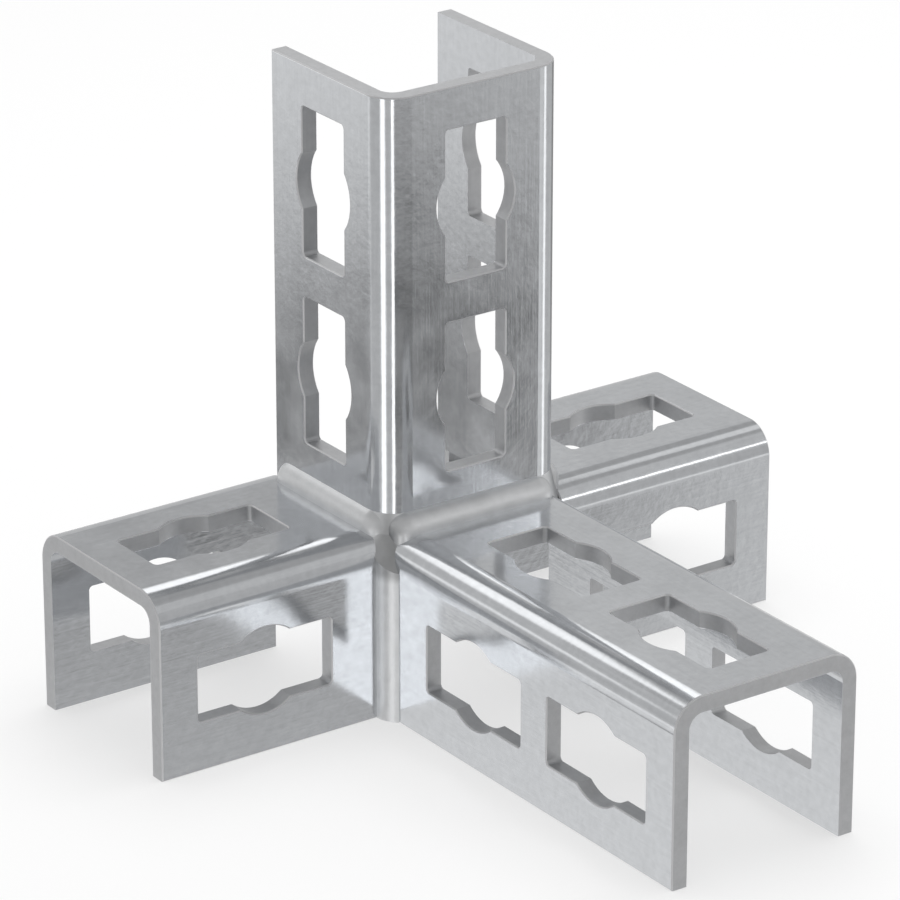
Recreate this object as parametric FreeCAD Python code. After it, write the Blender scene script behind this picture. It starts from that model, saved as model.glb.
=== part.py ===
import FreeCAD, Part
import math
import os

from FreeCAD import Placement, Rotation, Vector

# Welded corner fitting for 41 mm strut: four lengths of folded U channel, one standing and three lying
# in a T around its foot, joined by weld beads. Lengths are millimetres and angles are degrees.
# The origin is where the centre lines of the upright and of the side arms cross, level with the arms' top
# faces. +Z is up the upright, +X along the right arm, -X along the left arm, -Y along the front arm.

# Folded section, the same for all four channels
SHEET = 4.2
INSIDE_WIDTH = 43.4
FLANGE_HEIGHT = 46.4
INSIDE_BEND = 3.6

# Lengths of channel, cut square, and the number of slots along each
UPRIGHT_LENGTH = 111.9
UPRIGHT_SLOTS = 2
FRONT_ARM_LENGTH = 111.9
FRONT_ARM_SLOTS = 2
SIDE_ARM_LENGTH = 63.2
SIDE_ARM_SLOTS = 1

# Punched slots, long with a round bulge in the middle, in the web and in both flanges
SLOT_LENGTH = 37.4
SLOT_WIDTH = 17.2
SLOT_BULGE = 22.1
SLOT_CORNER = 1.1
SLOT_PITCH = 47.6
FREE_END_TO_SLOT = 29.0
WEB_TO_FLANGE_SLOT = 25.3

# Broken edges round the outside of the cut ends, the lips and the slots
EDGE_BREAK = 0.3
SHARP_ANGLE = 30.0

# Weld runs in the corners between the upright and the arms' tops, round in section and at their ends. Rise is
# how far they climb the upright and spread how far they lie out over the arm, where they stand square to it.
# The straight part of a side run ends short of the upright's back edge by its stop. At the front all of them
# go on past the start of the bends by the overhang. The front run lies off the middle, to the left.
RUN_RISE = 4.5
FRONT_RUN_SPREAD = 3.8
SIDE_RUN_SPREAD = 2.7
SIDE_RUN_STOP = 5.9
RUN_OVERHANG = 0.5
FRONT_RUN_SHIFT = 1.1
RUN_SEAT = 3.3

# Collar of weld metal round each of the upright's front bends, from the runs' top edge to its waist further
# down and out, from which it flares over the upright runs below. The left collar is the fuller one.
LEFT_WAIST_DEPTH = 0.3
LEFT_WAIST_OUT = 1.4
LEFT_FLARE_SLOPE = 51.0
RIGHT_WAIST_DEPTH = 4.0
RIGHT_WAIST_OUT = 2.0
RIGHT_FLARE_SLOPE = 35.0

# Upright weld runs in the corners between the front arm and the side arms
CORNER_RUN_ON_SIDE_ARM = 2.8
CORNER_RUN_ON_FRONT_ARM = 5.3
CORNER_RUN_CROWN = 0.6

# Directions of the four channels, from the crossing of their centre lines
UP = Vector(0, 0, 1)
FRONT = Vector(0, -1, 0)
LEFT = Vector(-1, 0, 0)
RIGHT = Vector(1, 0, 0)

# Worked out from the sizes above
HALF_WIDTH = INSIDE_WIDTH / 2 + SHEET
OUTSIDE_BEND = INSIDE_BEND + SHEET
BEND_START = HALF_WIDTH - OUTSIDE_BEND
UPRIGHT_BACK = FLANGE_HEIGHT - HALF_WIDTH
PUNCH_OVERRUN = SHEET


def flat_arc(x, y, radius, start, end):
    """Arc edge in the XY plane about the point x, y, from one angle to the other."""
    points = []
    for degrees in (start, (start + end) / 2, end):
        angle = math.radians(degrees)
        points.append(Vector(x + radius * math.cos(angle), y + radius * math.sin(angle), 0))
    return Part.Arc(*points).toShape()


def flat_line(x1, y1, x2, y2):
    """Straight edge in the XY plane."""
    return Part.LineSegment(Vector(x1, y1, 0), Vector(x2, y2, 0)).toShape()


def outline_face(pieces):
    """Face inside a closed outline: the given edges in order, with a straight edge across each gap."""
    edges = []
    for piece, following in zip(pieces, pieces[1:] + pieces[:1]):
        edges.append(piece)
        end = piece.valueAt(piece.LastParameter)
        start = following.valueAt(following.FirstParameter)
        if end.distanceToPoint(start) > 1e-6:
            edges.append(Part.LineSegment(end, start).toShape())
    return Part.Face(Part.Wire(edges))


def channel_blank(length):
    """Folded U along +Z from z = 0, with the web's outer face on y = 0 and the flanges towards +Y."""
    inside_x = INSIDE_WIDTH / 2
    section = outline_face([
        flat_arc(-BEND_START, OUTSIDE_BEND, OUTSIDE_BEND, 180, 270),
        flat_arc(BEND_START, OUTSIDE_BEND, OUTSIDE_BEND, 270, 360),
        flat_line(HALF_WIDTH, FLANGE_HEIGHT, inside_x, FLANGE_HEIGHT),
        flat_arc(BEND_START, OUTSIDE_BEND, INSIDE_BEND, 360, 270),
        flat_arc(-BEND_START, OUTSIDE_BEND, INSIDE_BEND, 270, 180),
        flat_line(-inside_x, FLANGE_HEIGHT, -HALF_WIDTH, FLANGE_HEIGHT),
    ])
    return section.extrude(Vector(0, 0, length))


def channel_envelope(length):
    """Space that a channel takes up with its inside, placed like the folded blank."""
    section = outline_face([
        flat_arc(-BEND_START, OUTSIDE_BEND, OUTSIDE_BEND, 180, 270),
        flat_arc(BEND_START, OUTSIDE_BEND, OUTSIDE_BEND, 270, 360),
        flat_line(HALF_WIDTH, FLANGE_HEIGHT, -HALF_WIDTH, FLANGE_HEIGHT),
    ])
    return section.extrude(Vector(0, 0, length))


def slot_punch(depth):
    """Punch for one slot: its outline about the origin, long along X, carried up +Z."""
    corner_x = SLOT_LENGTH / 2 - SLOT_CORNER
    corner_y = SLOT_WIDTH / 2 - SLOT_CORNER
    bulge = SLOT_BULGE / 2
    bulge_start = math.degrees(math.asin(SLOT_WIDTH / SLOT_BULGE))
    outline = outline_face([
        flat_arc(corner_x, corner_y, SLOT_CORNER, 0, 90),
        flat_arc(0, 0, bulge, bulge_start, 180 - bulge_start),
        flat_arc(-corner_x, corner_y, SLOT_CORNER, 90, 180),
        flat_arc(-corner_x, -corner_y, SLOT_CORNER, 180, 270),
        flat_arc(0, 0, bulge, 180 + bulge_start, 360 - bulge_start),
        flat_arc(corner_x, -corner_y, SLOT_CORNER, 270, 360),
    ])
    return outline.extrude(Vector(0, 0, depth))


def placed(shape, x_to, y_to, z_to, origin):
    """Copy of a shape with its axes turned to the given directions and its origin moved."""
    moved = shape.copy()
    moved.Placement = Placement(origin, Rotation(x_to, y_to, z_to, "ZXY"))
    return moved


def on_outside(point):
    """Whether a point of a channel blank lies on the outer skin of its web, bends or flanges."""
    across = max(abs(point.x) - BEND_START, 0)
    depth = max(OUTSIDE_BEND - point.y, 0)
    return abs(math.hypot(across, depth) - OUTSIDE_BEND) < EDGE_BREAK / 2


def sharp_edges(shape):
    """Edges on the outer skin of a channel where two faces meet at an angle."""
    edges = []
    for edge in shape.Edges:
        middle = edge.valueAt((edge.FirstParameter + edge.LastParameter) / 2)
        normals = []
        for face in shape.ancestorsOfType(edge, Part.Face):
            normals.append(face.normalAt(*face.Surface.parameter(middle)))
        if on_outside(middle) and math.degrees(normals[0].getAngle(normals[1])) > SHARP_ANGLE:
            edges.append(edge)
    return edges


def channel(length, slots):
    """Finished channel: the folded blank with its slots punched from the free end and its edges broken."""
    into = -FRONT
    web_punch = slot_punch(SHEET + 2 * PUNCH_OVERRUN)
    flange_punch = slot_punch(2 * (HALF_WIDTH + PUNCH_OVERRUN))
    punches = []
    for number in range(slots):
        height = length - FREE_END_TO_SLOT - number * SLOT_PITCH
        web_start = Vector(0, -PUNCH_OVERRUN, height)
        punches.append(placed(web_punch, UP, RIGHT, into, web_start))
        flange_start = Vector(-HALF_WIDTH - PUNCH_OVERRUN, WEB_TO_FLANGE_SLOT, height)
        punches.append(placed(flange_punch, UP, FRONT, RIGHT, flange_start))
    punched = channel_blank(length).cut(punches)
    return punched.makeChamfer(EDGE_BREAK, sharp_edges(punched)).Solids[0]


def stood(shape):
    """Upright length of channel: web to the front, open to the back, its foot level with the arms' undersides."""
    return placed(shape, RIGHT, -FRONT, UP, Vector(0, -HALF_WIDTH, -SHEET))


def laid(shape, outward):
    """Arm's length of channel: web up and open below, from the upright's face out to its free end."""
    return placed(shape, outward.cross(UP), -UP, outward, outward * HALF_WIDTH)


def run(spread, length):
    """Weld run along Y, centred on the origin, against a wall on x = 0 and a floor on z = 0."""
    behind = (RUN_RISE ** 2 - spread ** 2) / (2 * spread)
    radius = spread + behind
    section = outline_face([
        flat_arc(0, 0, radius, 90, 0),
        flat_line(radius, -RUN_SEAT, 0, -RUN_SEAT),
    ])
    near_end = Vector(-behind, -length / 2, 0)
    far_end = Vector(-behind, length / 2, 0)
    near = placed(section, RIGHT, UP, FRONT, near_end)
    far = placed(section, RIGHT, UP, FRONT, far_end)
    return near.extrude(far_end - near_end).fuse([
        near.revolve(near_end, UP, 360),
        far.revolve(far_end, UP, 360),
    ])


def front_run():
    """Run between the upright's web and the front arm's top."""
    shape = run(FRONT_RUN_SPREAD, 2 * (BEND_START + RUN_OVERHANG))
    return placed(shape, FRONT, RIGHT, UP, FRONT * HALF_WIDTH + LEFT * FRONT_RUN_SHIFT)


def right_side_run():
    """Run between the upright's right flange and the right arm's top."""
    front = -BEND_START - RUN_OVERHANG
    back = UPRIGHT_BACK - SIDE_RUN_STOP
    return run(SIDE_RUN_SPREAD, back - front).translated(Vector(HALF_WIDTH, (back + front) / 2, 0))


def collar_bell(waist_depth, waist_out, flare_slope):
    """Bell round the upright's right bend that holds all the weld metal at that corner."""
    waist = OUTSIDE_BEND + waist_out
    rim = 2 * (OUTSIDE_BEND + CORNER_RUN_ON_FRONT_ARM)
    rim_depth = waist_depth + (rim - waist) * math.tan(math.radians(flare_slope))
    profile = Part.makePolygon([
        Vector(OUTSIDE_BEND, 0, RUN_RISE),
        Vector(waist, 0, -waist_depth),
        Vector(rim, 0, -rim_depth),
        Vector(rim, 0, -FLANGE_HEIGHT),
        Vector(OUTSIDE_BEND, 0, -FLANGE_HEIGHT),
        Vector(OUTSIDE_BEND, 0, RUN_RISE),
    ])
    bell = Part.Face(profile).revolve(Vector(), UP, 360)
    return bell.translated(RIGHT * BEND_START + FRONT * BEND_START)


def right_corner(collar):
    """Upright run between the right arm and the front arm, gathered at its top inside the collar's bell."""
    side_toe = Vector(HALF_WIDTH + CORNER_RUN_ON_SIDE_ARM, -HALF_WIDTH, 0)
    front_toe = Vector(HALF_WIDTH, -HALF_WIDTH - CORNER_RUN_ON_FRONT_ARM, 0)
    crown = (side_toe - front_toe).cross(UP).normalize() * CORNER_RUN_CROWN
    section = outline_face([
        Part.Arc(front_toe, (front_toe + side_toe) / 2 + crown, side_toe).toShape(),
        flat_line(side_toe.x, -BEND_START, HALF_WIDTH, -BEND_START),
        flat_line(HALF_WIDTH, -HALF_WIDTH, BEND_START, -HALF_WIDTH),
        flat_line(BEND_START, front_toe.y, HALF_WIDTH, front_toe.y),
    ])
    outer = section.translated(UP * -FLANGE_HEIGHT).extrude(UP * (FLANGE_HEIGHT + RUN_RISE))
    round_bend = Part.makeBox(
        OUTSIDE_BEND, OUTSIDE_BEND, SHEET + RUN_RISE, Vector(BEND_START, -HALF_WIDTH, -SHEET)
    )
    root = Part.makeBox(
        SHEET, SHEET, OUTSIDE_BEND, Vector(HALF_WIDTH - SHEET, -HALF_WIDTH, -OUTSIDE_BEND)
    )
    return outer.fuse([round_bend, root]).common(collar)


def weld_beads():
    """All weld metal as one solid, seated against the outside of the four channels."""
    right_collar = collar_bell(RIGHT_WAIST_DEPTH, RIGHT_WAIST_OUT, RIGHT_FLARE_SLOPE)
    left_collar = collar_bell(LEFT_WAIST_DEPTH, LEFT_WAIST_OUT, LEFT_FLARE_SLOPE)
    right = right_side_run().fuse(right_corner(right_collar))
    left = right_side_run().fuse(right_corner(left_collar)).mirror(Vector(), RIGHT)
    side_space = channel_envelope(SIDE_ARM_LENGTH)
    return front_run().fuse([left, right]).cut([
        stood(channel_envelope(UPRIGHT_LENGTH)),
        laid(channel_envelope(FRONT_ARM_LENGTH), FRONT),
        laid(side_space, LEFT),
        laid(side_space, RIGHT),
    ])


def build():
    """Every piece by its name."""
    side_arm = channel(SIDE_ARM_LENGTH, SIDE_ARM_SLOTS)
    return {
        "upright_channel": stood(channel(UPRIGHT_LENGTH, UPRIGHT_SLOTS)),
        "front_arm_channel": laid(channel(FRONT_ARM_LENGTH, FRONT_ARM_SLOTS), FRONT),
        "left_arm_channel": laid(side_arm, LEFT),
        "right_arm_channel": laid(side_arm, RIGHT),
        "weld_beads": weld_beads(),
    }


os.makedirs("parts", exist_ok=True)
for name, shape in build().items():
    print(name, shape.isValid(), len(shape.Solids), round(shape.Volume, 1))
    shape.exportStep("parts/" + name + ".step")
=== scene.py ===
import math
from collections import namedtuple

import bpy
from mathutils import Euler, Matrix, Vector


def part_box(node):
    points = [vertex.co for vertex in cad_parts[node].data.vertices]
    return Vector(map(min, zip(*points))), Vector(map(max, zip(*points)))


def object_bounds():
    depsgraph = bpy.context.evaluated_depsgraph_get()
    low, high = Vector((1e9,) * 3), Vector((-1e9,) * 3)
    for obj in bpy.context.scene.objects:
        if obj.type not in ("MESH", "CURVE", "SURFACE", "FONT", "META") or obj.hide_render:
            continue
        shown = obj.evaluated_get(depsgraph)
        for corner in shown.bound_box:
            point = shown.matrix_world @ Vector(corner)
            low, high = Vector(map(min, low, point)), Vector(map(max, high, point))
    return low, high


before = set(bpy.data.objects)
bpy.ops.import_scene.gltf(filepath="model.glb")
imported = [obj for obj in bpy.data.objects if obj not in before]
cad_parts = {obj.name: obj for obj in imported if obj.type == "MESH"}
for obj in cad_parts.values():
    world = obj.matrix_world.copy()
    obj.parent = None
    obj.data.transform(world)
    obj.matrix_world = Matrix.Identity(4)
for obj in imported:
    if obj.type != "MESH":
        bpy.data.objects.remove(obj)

bl_info = {
    "name": "Strut Angle Fitting",
    "version": (1, 0, 0),
    "blender": (4, 5, 0),
    "location": "3D View > Sidebar > Fitting",
    "description": "Finishes, stage and camera for a welded strut angle fitting",
    "category": "Object",
}

# Everything is in metres, in the fitting's own frame, and angles in the tables are degrees.
RIGHT = Vector((1, 0, 0))
LEFT = Vector((-1, 0, 0))
FRONT = Vector((0, -1, 0))
UP = Vector((0, 0, 1))
PACKED_BOX = [list(corner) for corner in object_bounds()]
FLOOR_LEVEL = PACKED_BOX[0][2]
MIDDLE = UP * (PACKED_BOX[0][2] + PACKED_BOX[1][2]) / 2

# Folded sheet of the channels
SHEET = 0.0042
OUTSIDE_BEND = 0.0078
EDGE_BREAK = 0.0003
HALF_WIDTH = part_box("upright_channel")[1][0]
BEND_START = HALF_WIDTH - OUTSIDE_BEND

# Each channel has the direction that it runs in, the one across its web, the one that its web faces, and how
# far the web's outer face stands from the origin.
CHANNELS = {
    "upright_channel": {"along": UP, "across": RIGHT, "web_faces": FRONT, "web_at": HALF_WIDTH},
    "front_arm_channel": {"along": FRONT, "across": RIGHT, "web_faces": UP, "web_at": 0.0},
    "left_arm_channel": {"along": LEFT, "across": FRONT, "web_faces": UP, "web_at": 0.0},
    "right_arm_channel": {"along": RIGHT, "across": FRONT, "web_faces": UP, "web_at": 0.0},
}
WELDS = "weld_beads"

# Painted shade darkens the welds in the hollow round the upright's front bends. It sets in between these
# distances out from the middle planes, and between these heights.
SHADED_HOLLOW_OUT = (0.0215, 0.0245)
SHADED_HOLLOW_HEIGHT = (-0.011, -0.008)

# Scale of each pattern in the coating. The squeeze leaves out that share of a place's distance along the
# channel, which draws the grain out into lines.
SHEET_PATCHES = 75.0
SHEET_SPANGLES = 520.0
GRAIN_LINES = 1500.0
GRAIN_SQUEEZE = 0.97
WELD_PATCHES = 200.0
WELD_SPANGLES = 900.0

# How much the full patterns change the colour and the roughness, and their relief
CLOUD_SHADE = 0.4
SPECKLE_SHADE = 0.35
GRAIN_SHADE = 0.25
CLOUD_ROUGHNESS = 0.25
SHEET_RELIEF = {"Strength": 0.3, "Distance": 0.00004}
WELD_SHADE = 0.35
WELD_ROUGHNESS = 0.2
WELD_LUMPS = 4.0
WELD_RELIEF = {"Strength": 0.35, "Distance": 0.0001}

# Depths over which the masks of the broken edges and of the cut faces set in
EDGE_ONSET = EDGE_BREAK / 10
CUT_ONSET = EDGE_BREAK / 3

# Floor and lamp
WHITE = (1, 1, 1, 1)
FLOOR_ROUGHNESS = 0.9
FLOOR_GLOW = 0.6
LAMP_PLACE = (0.2, 0.1, 1.1)
LAMP_SIZE = 1.2

# Camera
SENSOR_WIDTH = 36.0
LENS_SHIFT = (0.05419, 0.04897)
CLIP = (0.1, 20.0)
AIM = Vector((-0.003331, 0.000256, -0.003915))

# Painted reflections: glowing cards of the studio, which only shiny surfaces see and which light nothing
# else.
# The bright ones are painted highlights and the dark ones painted shade. Each has its tone, and how far in
# from its edges it fades. A hung card is flat and turned to the fitting.
HungReflection = namedtuple("HungReflection", "tone width height fade place")
HUNG_REFLECTIONS = {
    "ceiling": HungReflection(0.42, 2.2, 2.2, 0.03, (0.1, 0.0, 0.80)),
    "front_ceiling": HungReflection(0.60, 0.9, 0.34, 0.03, (0.42, -0.46, 0.52)),
    "back_wall": HungReflection(0.60, 2.2, 1.0, 0.03, (0.1, 0.9, 0.28)),
    "right_wall": HungReflection(0.55, 2.2, 1.0, 0.03, (0.9, 0.0, 0.28)),
    "front_wall": HungReflection(0.52, 2.2, 1.0, 0.03, (0.0, -0.9, 0.28)),
    "left_wall": HungReflection(0.55, 2.2, 1.0, 0.03, (-0.9, 0.0, 0.28)),
    # Painted shade in the reflection of the arms' tops, then painted highlights from the glowing boxes
    "back_painted_shade": HungReflection(0.44, 0.15, 0.09, 0.03, (0.235, 0.45, 0.243)),
    "top_right_highlight": HungReflection(0.85, 0.24, 0.16, 0.03, (0.49, 0.06, 0.60)),
    "back_left_highlight": HungReflection(1.35, 0.19, 0.15, 0.03, (-0.115, 0.28, 0.30)),
    "back_left_low_highlight": HungReflection(1.1, 0.14, 0.07, 0.03, (-0.27, 0.22, 0.10)),
    "back_right_highlight": HungReflection(1.45, 0.17, 0.24, 0.03, (0.19, 0.28, 0.36)),
    "front_right_highlight": HungReflection(2.6, 0.14, 0.06, 0.025, (0.33, -0.37, 0.205)),
}
# A low card is bent round the fitting, far away and below its horizon, and takes the floor's place in its
# reflections: it paints the floor's reflection, with painted shade in the dark cards and painted highlights
# in the bright strips. The heading of its middle goes from -Y towards -X. Its spread goes half to each side,
# and its lowest and highest angles are negative below the horizon. Each one lies just in front of the one
# before.
LowReflection = namedtuple("LowReflection", "tone heading spread lowest highest fade")
LOW_REFLECTIONS = {
    "low_surround": LowReflection(0.57, 0, 360, -89, -13.0, 0.5),
    "low_back_right": LowReflection(0.30, -135, 60, -24.0, -12.0, 3.0),
    "low_back_left": LowReflection(0.86, 145, 60, -45.0, -12.0, 3.0),
    "high_left": LowReflection(0.66, 145, 60, -24.5, -19.4, 0.9),
    "low_front_right": LowReflection(0.76, -44.5, 16, -30.0, -12.0, 1.5),
    # Painted shade in the floor's reflection, in front of the fitting and behind it
    "front_shade": LowReflection(0.03, -2.7, 69.4, -24.2, -19.5, 1.3),
    "back_shade": LowReflection(0.17, 145, 50, -24.2, -20.3, 1.6),
    # Painted highlights: bright strips in the floor's reflection
    "corner_strip": LowReflection(2.05, 35, 10.0, -45.0, -12.0, 2.0),
    "left_strip": LowReflection(1.70, 69, 20.0, -45.0, -12.0, 4.0),
    "right_strip": LowReflection(1.45, -61, 13.0, -45.0, -12.0, 2.5),
    "left_back_strip": LowReflection(1.10, 124, 9.0, -21.0, -12.0, 2.0),
}
LOW_DISTANCE = 60.0
IN_FRONT = 0.98
BEND_STEPS = 48


class SheetFinish(bpy.types.PropertyGroup):
    """Zinc-coated steel sheet of the channels."""

    tint: bpy.props.FloatVectorProperty(
        name="Zinc", description="Colour that the coating reflects", subtype="COLOR",
        default=(0.68, 0.695, 0.715), min=0, max=1,
    )
    roughness: bpy.props.FloatProperty(
        name="Roughness", description="How far the coating blurs what it reflects",
        subtype="FACTOR", default=0.14, min=0, max=1,
    )
    cut_tint: bpy.props.FloatVectorProperty(
        name="Cut faces", description="Colour that the sheared faces of slots and ends reflect",
        subtype="COLOR", default=(0.62, 0.625, 0.635), min=0, max=1,
    )
    cut_roughness: bpy.props.FloatProperty(
        name="Cut roughness", description="How much rougher the sheared faces are than the coating",
        subtype="FACTOR", default=0.35, min=0, max=1,
    )
    edge_tint: bpy.props.FloatVectorProperty(
        name="Broken edges", description="Colour that the rubbed edges of slots and ends reflect",
        subtype="COLOR", default=(0.80, 0.80, 0.81), min=0, max=1,
    )
    edge_roughness: bpy.props.FloatProperty(
        name="Edge roughness", description="How much rougher the rubbed edges are than the coating",
        subtype="FACTOR", default=0.4, min=0, max=1,
    )
    mottle: bpy.props.FloatProperty(
        name="Mottle", description="Strength of the cloudy patches in the coating",
        subtype="FACTOR", default=0.5, min=0, max=1,
    )
    grain: bpy.props.FloatProperty(
        name="Rolling grain", description="Strength of the fine lines along each channel",
        subtype="FACTOR", default=0.5, min=0, max=1,
    )


class WeldFinish(bpy.types.PropertyGroup):
    """Zinc-coated weld metal."""

    tint: bpy.props.FloatVectorProperty(
        name="Zinc", description="Colour that the coated weld reflects", subtype="COLOR",
        default=(0.82, 0.83, 0.84), min=0, max=1,
    )
    roughness: bpy.props.FloatProperty(
        name="Roughness", description="How far the weld blurs what it reflects",
        subtype="FACTOR", default=0.4, min=0, max=1,
    )
    # Painted shade: how much the welds are darkened round the upright's bends
    hollow_shade: bpy.props.FloatProperty(
        name="Dark hollow", description="How much shade is painted round the upright's bends",
        subtype="FACTOR", default=0.4, min=0, max=1,
    )


class Studio(bpy.types.PropertyGroup):
    """Pale floor, soft light and camera."""

    floor_tone: bpy.props.FloatProperty(
        name="Floor", description="Lightness of the floor", subtype="FACTOR", default=0.92, min=0, max=1,
    )
    floor_size: bpy.props.FloatProperty(
        name="Floor size", description="Side of the square floor", unit="LENGTH", default=8.0, min=1,
    )
    ambient: bpy.props.FloatProperty(
        name="Ambient", description="Brightness of the white surroundings on plain surfaces",
        default=0.45, min=0,
    )
    lamp_power: bpy.props.FloatProperty(
        name="Lamp", description="Power of the large lamp overhead, in watts", default=12.0, min=0,
    )
    azimuth: bpy.props.FloatProperty(
        name="Azimuth", description="Heading of the view: 0 looks along +Y and positive turns towards -X",
        subtype="ANGLE", default=math.radians(-34.684),
    )
    elevation: bpy.props.FloatProperty(
        name="Elevation", description="Height of the camera above the horizon", subtype="ANGLE",
        default=math.radians(23.287),
    )
    roll: bpy.props.FloatProperty(
        name="Roll", description="Turn of the picture about the line of sight", subtype="ANGLE",
        default=math.radians(-0.2),
    )
    distance: bpy.props.FloatProperty(
        name="Distance", description="From the camera to the point that it looks at", unit="LENGTH",
        default=1.34777,
    )
    lens: bpy.props.FloatProperty(
        name="Lens", description="Focal length", unit="CAMERA", default=223.777,
    )


def node(tree, kind, inputs=None, **settings):
    """New node with its settings and inputs: an input is a value, or the output socket that feeds it."""
    made = tree.nodes.new(kind)
    for name, value in settings.items():
        setattr(made, name, value)
    for name, value in (inputs or {}).items():
        if isinstance(value, bpy.types.NodeSocket):
            tree.links.new(value, made.inputs[name])
        else:
            made.inputs[name].default_value = value
    return made


def maths(tree, operation, *terms):
    """Output of a Math node over the given values or sockets."""
    return node(tree, "ShaderNodeMath", dict(enumerate(terms)), operation=operation).outputs[0]


def vector_maths(tree, operation, *terms):
    """Output of a Vector Math node over the given values or sockets."""
    made = node(tree, "ShaderNodeVectorMath", dict(enumerate(terms)), operation=operation)
    return made.outputs["Value" if operation in ("DOT_PRODUCT", "LENGTH") else "Vector"]


def scaled(tree, vector, factor):
    """Vector or colour times a factor."""
    inputs = {"Vector": vector, "Scale": factor}
    return node(tree, "ShaderNodeVectorMath", inputs, operation="SCALE").outputs["Vector"]


def ramp(tree, value, low, high):
    """Smooth step from nought at low to one at high."""
    inputs = {"Value": value, "From Min": low, "From Max": high}
    return node(tree, "ShaderNodeMapRange", inputs, interpolation_type="SMOOTHSTEP").outputs["Result"]


def noise(tree, place, scale, detail, roughness):
    """Uneven pattern about nought."""
    inputs = {"Vector": place, "Scale": scale, "Detail": detail, "Roughness": roughness}
    return maths(tree, "SUBTRACT", node(tree, "ShaderNodeTexNoise", inputs).outputs["Fac"], 0.5)


def blended(tree, mask, plain, marked):
    """Colour that goes from plain to marked as the mask goes from nought to one."""
    mix = node(tree, "ShaderNodeMix", {"Factor": mask}, data_type="RGBA")
    colours = {"A_Color": plain, "B_Color": marked}
    for socket in mix.inputs:
        colour = colours.get(socket.identifier)
        if isinstance(colour, bpy.types.NodeSocket):
            tree.links.new(colour, socket)
        elif colour:
            socket.default_value = (*colour, 1.0)
    return next(socket for socket in mix.outputs if socket.identifier == "Result_Color")


def group(name, inputs, outputs):
    """Empty node group with named sockets, its inputs' values and its outputs' sockets."""
    tree = bpy.data.node_groups.new(name, "ShaderNodeTree")
    for label, kind in inputs.items():
        tree.interface.new_socket(label, in_out="INPUT", socket_type="NodeSocket" + kind)
    for label, kind in outputs.items():
        tree.interface.new_socket(label, in_out="OUTPUT", socket_type="NodeSocket" + kind)
    return tree, tree.nodes.new("NodeGroupInput").outputs, tree.nodes.new("NodeGroupOutput").inputs


def placed_group(tree, name, inputs):
    """Outputs of the node group of that name, placed in a material's tree."""
    return node(tree, "ShaderNodeGroup", inputs, node_tree=bpy.data.node_groups[name]).outputs


def make_grain_group():
    """Fine lines along a channel, from rolling the sheet: a height about nought."""
    tree, given, result = group(
        "Rolling grain",
        {"Place": "Vector", "Along": "Vector", "Fineness": "Float"},
        {"Height": "Float"},
    )
    run = vector_maths(tree, "DOT_PRODUCT", given["Place"], given["Along"])
    lengthwise = scaled(tree, given["Along"], run)
    squeezed = vector_maths(tree, "SUBTRACT", given["Place"], scaled(tree, lengthwise, GRAIN_SQUEEZE))
    lines = noise(tree, squeezed, given["Fineness"], detail=3.0, roughness=0.6)
    tree.links.new(lines, result["Height"])


def make_mottle_group():
    """Cloudy patches and small spangles of a zinc coating, both about nought."""
    tree, given, result = group(
        "Zinc mottle",
        {"Place": "Vector", "Patch": "Float", "Spangle": "Float"},
        {"Cloud": "Float", "Speckle": "Float"},
    )
    cloud = noise(tree, given["Place"], given["Patch"], detail=4.0, roughness=0.55)
    speckle = noise(tree, given["Place"], given["Spangle"], detail=2.0, roughness=0.5)
    tree.links.new(cloud, result["Cloud"])
    tree.links.new(speckle, result["Speckle"])


def make_edge_group():
    """Masks for a channel's cut faces and broken edges, from how deep in the folded sheet a point lies."""
    tree, given, result = group(
        "Sheet edge",
        {"Place": "Vector", "Across": "Vector", "Web faces": "Vector", "Web at": "Float"},
        {"Cut": "Float", "Broken": "Float"},
    )
    across = maths(tree, "ABSOLUTE", vector_maths(tree, "DOT_PRODUCT", given["Place"], given["Across"]))
    height = vector_maths(tree, "DOT_PRODUCT", given["Place"], given["Web faces"])
    under_web = maths(tree, "SUBTRACT", given["Web at"], height)
    past_bend = maths(tree, "MAXIMUM", maths(tree, "SUBTRACT", across, BEND_START), 0.0)
    above_bend = maths(tree, "MAXIMUM", maths(tree, "SUBTRACT", OUTSIDE_BEND, under_web), 0.0)
    from_bend = node(tree, "ShaderNodeCombineXYZ", {"X": past_bend, "Y": above_bend}).outputs["Vector"]
    depth = maths(tree, "SUBTRACT", OUTSIDE_BEND, vector_maths(tree, "LENGTH", from_bend))
    above_inner_skin = ramp(tree, depth, SHEET - CUT_ONSET / 2, SHEET - CUT_ONSET)
    below_edge = ramp(tree, depth, EDGE_BREAK, EDGE_BREAK + CUT_ONSET)
    below_outer_skin = ramp(tree, depth, EDGE_ONSET, 2 * EDGE_ONSET)
    cut = maths(tree, "MULTIPLY", below_edge, above_inner_skin)
    between_skins = maths(tree, "MULTIPLY", below_outer_skin, above_inner_skin)
    tree.links.new(cut, result["Cut"])
    tree.links.new(maths(tree, "SUBTRACT", between_skins, cut), result["Broken"])


def empty_tree(owner):
    """Node tree of a new material or world, with nothing in it."""
    owner.use_nodes = True
    owner.node_tree.nodes.clear()
    return owner.node_tree


def surface_material(name):
    """New material, its tree and the Principled shader on its output."""
    material = bpy.data.materials.new(name)
    tree = empty_tree(material)
    shader = tree.nodes.new("ShaderNodeBsdfPrincipled")
    node(tree, "ShaderNodeOutputMaterial", {"Surface": shader.outputs["BSDF"]})
    return material, tree, shader


def coat(tree, shader, colour, roughness, height, relief):
    """Give a metal shader its colour, roughness and relief."""
    bump = node(tree, "ShaderNodeBump", {"Height": height, **relief})
    tree.links.new(colour, shader.inputs["Base Color"])
    tree.links.new(roughness, shader.inputs["Roughness"])
    tree.links.new(bump.outputs["Normal"], shader.inputs["Normal"])
    shader.inputs["Metallic"].default_value = 1.0


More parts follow.
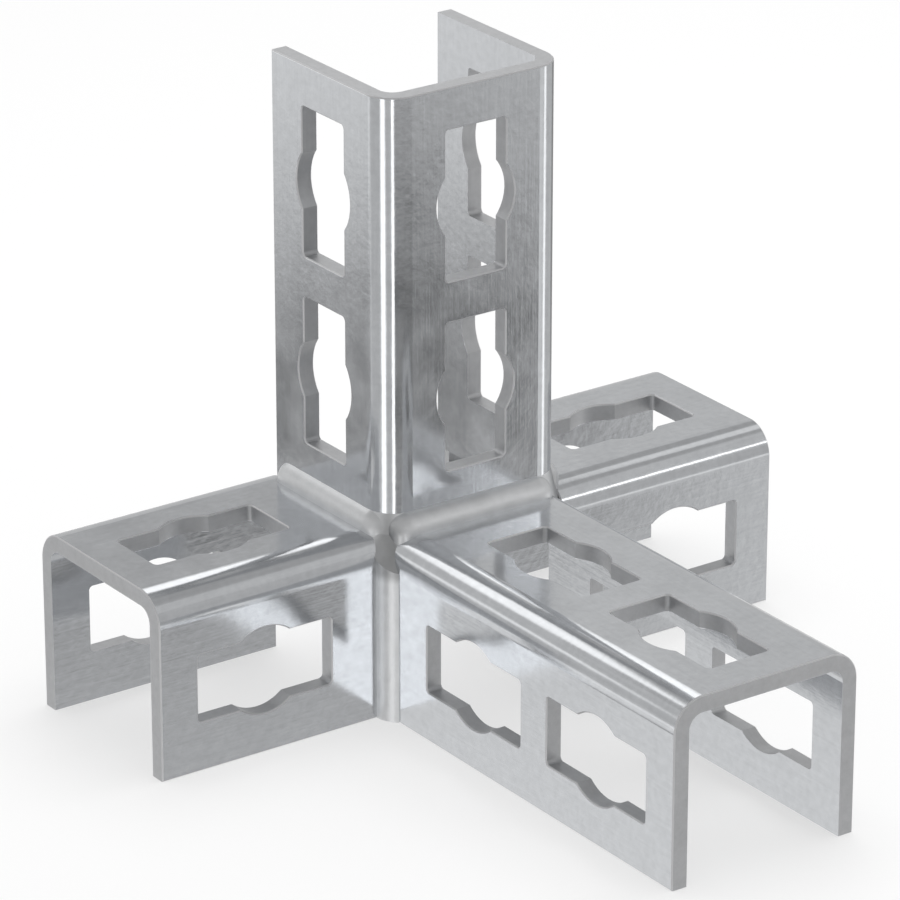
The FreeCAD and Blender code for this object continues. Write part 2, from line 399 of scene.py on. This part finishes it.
def sheet_material(name, facts, finish):
    """Zinc-coated sheet with its grain along the channel, duller cut faces and light broken edges."""
    material, tree, shader = surface_material(name)
    place = node(tree, "ShaderNodeTexCoord").outputs["Object"]
    mottle = placed_group(
        tree, "Zinc mottle", {"Place": place, "Patch": SHEET_PATCHES, "Spangle": SHEET_SPANGLES}
    )
    grain = placed_group(
        tree, "Rolling grain", {"Place": place, "Along": facts["along"], "Fineness": GRAIN_LINES}
    )
    edge = placed_group(tree, "Sheet edge", {
        "Place": place, "Across": facts["across"], "Web faces": facts["web_faces"], "Web at": facts["web_at"],
    })
    clouds = maths(tree, "MULTIPLY_ADD", mottle["Cloud"], CLOUD_SHADE * finish.mottle, 1.0)
    speckled = maths(tree, "MULTIPLY_ADD", mottle["Speckle"], SPECKLE_SHADE * finish.mottle, clouds)
    shade = maths(tree, "MULTIPLY_ADD", grain["Height"], GRAIN_SHADE * finish.grain, speckled)
    skin = scaled(tree, finish.tint[:], shade)
    cut = scaled(tree, finish.cut_tint[:], shade)
    colour = blended(tree, edge["Broken"], blended(tree, edge["Cut"], skin, cut), finish.edge_tint[:])
    rough = maths(tree, "MULTIPLY_ADD", mottle["Cloud"], CLOUD_ROUGHNESS * finish.mottle, finish.roughness)
    cut_rough = maths(tree, "MULTIPLY_ADD", edge["Cut"], finish.cut_roughness, rough)
    roughness = maths(tree, "MULTIPLY_ADD", edge["Broken"], finish.edge_roughness, cut_rough)
    height = maths(tree, "MULTIPLY_ADD", grain["Height"], finish.grain, mottle["Speckle"])
    coat(tree, shader, colour, roughness, height, SHEET_RELIEF)
    return material


def weld_material(name, finish):
    """Zinc-coated weld metal, a little lumpy, lighter than the sheet, with painted shade in its hollow."""
    material, tree, shader = surface_material(name)
    place = node(tree, "ShaderNodeTexCoord").outputs["Object"]
    mottle = placed_group(
        tree, "Zinc mottle", {"Place": place, "Patch": WELD_PATCHES, "Spangle": WELD_SPANGLES}
    )
    sides = node(tree, "ShaderNodeSeparateXYZ", {"Vector": place}).outputs
    # Painted shade in the welds' hollow round the upright's front bends
    sideways = ramp(tree, maths(tree, "ABSOLUTE", sides["X"]), *SHADED_HOLLOW_OUT)
    forward = ramp(tree, maths(tree, "MULTIPLY", sides["Y"], -1.0), *SHADED_HOLLOW_OUT)
    upward = ramp(tree, sides["Z"], *SHADED_HOLLOW_HEIGHT)
    hollow_shade = maths(tree, "MULTIPLY", maths(tree, "MULTIPLY", sideways, forward), upward)
    clouds = maths(tree, "MULTIPLY_ADD", mottle["Cloud"], WELD_SHADE, 1.0)
    shade = maths(tree, "MULTIPLY_ADD", hollow_shade, -finish.hollow_shade, clouds)
    colour = scaled(tree, finish.tint[:], shade)
    roughness = maths(tree, "MULTIPLY_ADD", mottle["Cloud"], WELD_ROUGHNESS, finish.roughness)
    height = maths(tree, "MULTIPLY_ADD", mottle["Cloud"], WELD_LUMPS, mottle["Speckle"])
    coat(tree, shader, colour, roughness, height, WELD_RELIEF)
    return material


def reflection_glow_material(name, tone, width, height, fade):
    """Even glow of a painted reflection card that fades out towards its edges, over the spread of its
    surface.
    """
    material = bpy.data.materials.new(name)
    tree = empty_tree(material)
    spread = node(tree, "ShaderNodeTexCoord").outputs["UV"]
    sides = node(tree, "ShaderNodeSeparateXYZ", {"Vector": spread}).outputs
    from_side = maths(tree, "MINIMUM", sides["X"], maths(tree, "SUBTRACT", width, sides["X"]))
    from_end = maths(tree, "MINIMUM", sides["Y"], maths(tree, "SUBTRACT", height, sides["Y"]))
    cover = ramp(tree, maths(tree, "MINIMUM", from_side, from_end), 0.0, fade)
    clear = node(tree, "ShaderNodeBsdfTransparent")
    glow = node(tree, "ShaderNodeEmission", {"Color": WHITE, "Strength": tone})
    mix = node(tree, "ShaderNodeMixShader", {0: cover, 1: clear.outputs[0], 2: glow.outputs[0]})
    node(tree, "ShaderNodeOutputMaterial", {"Surface": mix.outputs[0]})
    return material


def seen_directly(tree):
    """One where a ray comes from the camera, a glossy surface or glass, and nought elsewhere."""
    path = node(tree, "ShaderNodeLightPath").outputs
    shiny = maths(tree, "MAXIMUM", path["Is Glossy Ray"], path["Is Transmission Ray"])
    return maths(tree, "MAXIMUM", path["Is Camera Ray"], shiny)


def floor_material(studio):
    """Pale floor that shows near white where it is seen and keeps the fitting's shadow."""
    material, tree, shader = surface_material("studio_floor")
    shader.inputs["Base Color"].default_value = (studio.floor_tone,) * 3 + (1.0,)
    shader.inputs["Roughness"].default_value = FLOOR_ROUGHNESS
    shader.inputs["Specular IOR Level"].default_value = 0.0
    glow = node(tree, "ShaderNodeEmission", {"Color": WHITE, "Strength": 1.0})
    share = maths(tree, "MULTIPLY", seen_directly(tree), FLOOR_GLOW)
    mix = node(tree, "ShaderNodeMixShader", {0: share, 1: shader.outputs[0], 2: glow.outputs[0]})
    tree.links.new(mix.outputs[0], tree.nodes["Material Output"].inputs["Surface"])
    return material


def dress_world(studio):
    """White surroundings where they are seen, and a plain pale light on the rest."""
    world = bpy.data.worlds.new("studio_surroundings")
    tree = empty_tree(world)
    plain = node(tree, "ShaderNodeBackground", {"Color": WHITE, "Strength": studio.ambient})
    white = node(tree, "ShaderNodeBackground", {"Color": WHITE, "Strength": 1.0})
    inputs = {0: seen_directly(tree), 1: plain.outputs[0], 2: white.outputs[0]}
    mix = node(tree, "ShaderNodeMixShader", inputs)
    node(tree, "ShaderNodeOutputWorld", {"Surface": mix.outputs[0]})
    bpy.context.scene.world = world


def linked(name, data):
    """New object in the scene."""
    made = bpy.data.objects.new(name, data)
    bpy.context.scene.collection.objects.link(made)
    return made


def studio_floor(studio):
    """Square floor that the fitting stands on, which shiny surfaces don't see."""
    half = studio.floor_size / 2
    corners = [(x * half, y * half, FLOOR_LEVEL) for x, y in ((-1, -1), (1, -1), (1, 1), (-1, 1))]
    mesh = bpy.data.meshes.new("floor")
    mesh.from_pydata(corners, [], [(0, 1, 2, 3)])
    mesh.materials.append(floor_material(studio))
    floor = linked("floor", mesh)
    floor.visible_glossy = False


def painted_reflection_card(name, columns, tone, width, height, fade):
    """Painted reflection: strip card through columns of a lower and an upper point, which only shiny surfaces
    see.
    """
    last = len(columns) - 1
    points = [point for column in columns for point in column]
    faces = [(2 * i, 2 * i + 2, 2 * i + 3, 2 * i + 1) for i in range(last)]
    mesh = bpy.data.meshes.new(name)
    mesh.from_pydata(points, [], faces)
    spread = mesh.uv_layers.new(name="spread").data
    for corner in mesh.loops:
        column, upper = divmod(corner.vertex_index, 2)
        spread[corner.index].uv = (width * column / last, height * upper)
    mesh.materials.append(reflection_glow_material(name, tone, width, height, fade))
    card = linked(name, mesh)
    card.visible_camera = False
    card.visible_diffuse = False
    card.visible_shadow = False
    card.visible_transmission = False


def hung_reflection_card(name, card):
    """Flat painted reflection card that faces the fitting."""
    place = Vector(card.place)
    facing = (MIDDLE - place).normalized()
    side = UP.cross(facing).normalized() * card.width / 2
    rise = facing.cross(side).normalized() * card.height / 2
    columns = [(place + edge - rise, place + edge + rise) for edge in (-side, side)]
    painted_reflection_card(name, columns, card.tone, card.width, card.height, card.fade)


def low_reflection_card(name, card, distance):
    """Painted reflection card bent round the fitting with its edges at that distance. Returns how near its
    middle comes.
    """
    tilts = [math.radians(card.lowest), math.radians(card.highest)]
    columns = []
    for step in range(BEND_STEPS + 1):
        turn = math.radians(card.heading + card.spread * (step / BEND_STEPS - 0.5))
        outward = Vector((-math.sin(turn), -math.cos(turn), 0))
        columns.append([distance * (outward * math.cos(tilt) + UP * math.sin(tilt)) for tilt in tilts])
    painted_reflection_card(name, columns, card.tone, card.spread, card.highest - card.lowest, card.fade)
    return distance * math.cos((tilts[1] - tilts[0]) / 2)


def soft_lamp(power):
    """Large square lamp overhead, aimed at the origin, which shiny surfaces don't see."""
    data = bpy.data.lights.new("lamp", "AREA")
    data.size = LAMP_SIZE
    data.energy = power
    lamp = linked("lamp", data)
    lamp.location = LAMP_PLACE
    lamp.rotation_mode = "QUATERNION"
    lamp.rotation_quaternion = (-Vector(LAMP_PLACE)).to_track_quat("-Z", "Y")
    lamp.visible_glossy = False


def place_camera(studio):
    """Camera that looks at the aim from the given heading and height."""
    data = bpy.data.cameras.new("camera")
    data.lens = studio.lens
    data.sensor_width = SENSOR_WIDTH
    data.shift_x, data.shift_y = LENS_SHIFT
    data.clip_start, data.clip_end = CLIP
    camera = linked("camera", data)
    turn = Euler((math.pi / 2 - studio.elevation, 0, studio.azimuth)).to_matrix()
    spin = Euler((0, 0, studio.roll)).to_matrix()
    camera.matrix_world = (turn @ spin).to_4x4()
    camera.location = AIM + turn @ (UP * studio.distance)
    bpy.context.scene.camera = camera


class FITTING_OT_channels(bpy.types.Operator):
    """Give the four channels their zinc-coated finish"""

    bl_idname = "fitting.channels"
    bl_label = "Channels"

    def execute(self, context):
        for name, facts in CHANNELS.items():
            material = sheet_material("zinc_" + name, facts, context.scene.fitting_sheet)
            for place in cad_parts[name].material_slots:
                place.material = material
        return {"FINISHED"}


class FITTING_OT_welds(bpy.types.Operator):
    """Give the weld beads their finish"""

    bl_idname = "fitting.welds"
    bl_label = "Weld beads"

    def execute(self, context):
        material = weld_material("zinc_weld", context.scene.fitting_weld)
        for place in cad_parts[WELDS].material_slots:
            place.material = material
        return {"FINISHED"}


class FITTING_OT_stage(bpy.types.Operator):
    """Set up the floor, the surroundings, the painted reflection cards, the lamp and the camera"""

    bl_idname = "fitting.stage"
    bl_label = "Stage"

    def execute(self, context):
        studio = context.scene.fitting_studio
        studio_floor(studio)
        dress_world(studio)
        for name, card in HUNG_REFLECTIONS.items():
            hung_reflection_card(name, card)
        distance = LOW_DISTANCE
        for name, card in LOW_REFLECTIONS.items():
            distance = low_reflection_card(name, card, distance) * IN_FRONT
        soft_lamp(studio.lamp_power)
        place_camera(studio)
        context.scene.view_settings.view_transform = "Standard"
        return {"FINISHED"}


class FITTING_PT_panel(bpy.types.Panel):
    """Steps that dress the fitting"""

    bl_idname = "FITTING_PT_panel"
    bl_label = "Strut Angle Fitting"
    bl_space_type = "VIEW_3D"
    bl_region_type = "UI"
    bl_category = "Fitting"

    def draw(self, context):
        scene = context.scene
        for settings, step in (
            (scene.fitting_sheet, FITTING_OT_channels),
            (scene.fitting_weld, FITTING_OT_welds),
            (scene.fitting_studio, FITTING_OT_stage),
        ):
            for name in settings.__annotations__:
                self.layout.prop(settings, name)
            self.layout.operator(step.bl_idname)


CLASSES = (
    SheetFinish, WeldFinish, Studio,
    FITTING_OT_channels, FITTING_OT_welds, FITTING_OT_stage, FITTING_PT_panel,
)


def register():
    """Register the classes and give every scene the fitting's settings."""
    for each in CLASSES:
        bpy.utils.register_class(each)
    bpy.types.Scene.fitting_sheet = bpy.props.PointerProperty(type=SheetFinish)
    bpy.types.Scene.fitting_weld = bpy.props.PointerProperty(type=WeldFinish)
    bpy.types.Scene.fitting_studio = bpy.props.PointerProperty(type=Studio)


def unregister():
    """Take the settings and the classes away again."""
    del bpy.types.Scene.fitting_sheet
    del bpy.types.Scene.fitting_weld
    del bpy.types.Scene.fitting_studio
    for each in reversed(CLASSES):
        bpy.utils.unregister_class(each)


def main():
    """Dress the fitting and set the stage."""
    register()
    make_grain_group()
    make_mottle_group()
    make_edge_group()
    bpy.ops.fitting.channels()
    bpy.ops.fitting.welds()
    bpy.ops.fitting.stage()


if __name__ == "__main__":
    main()
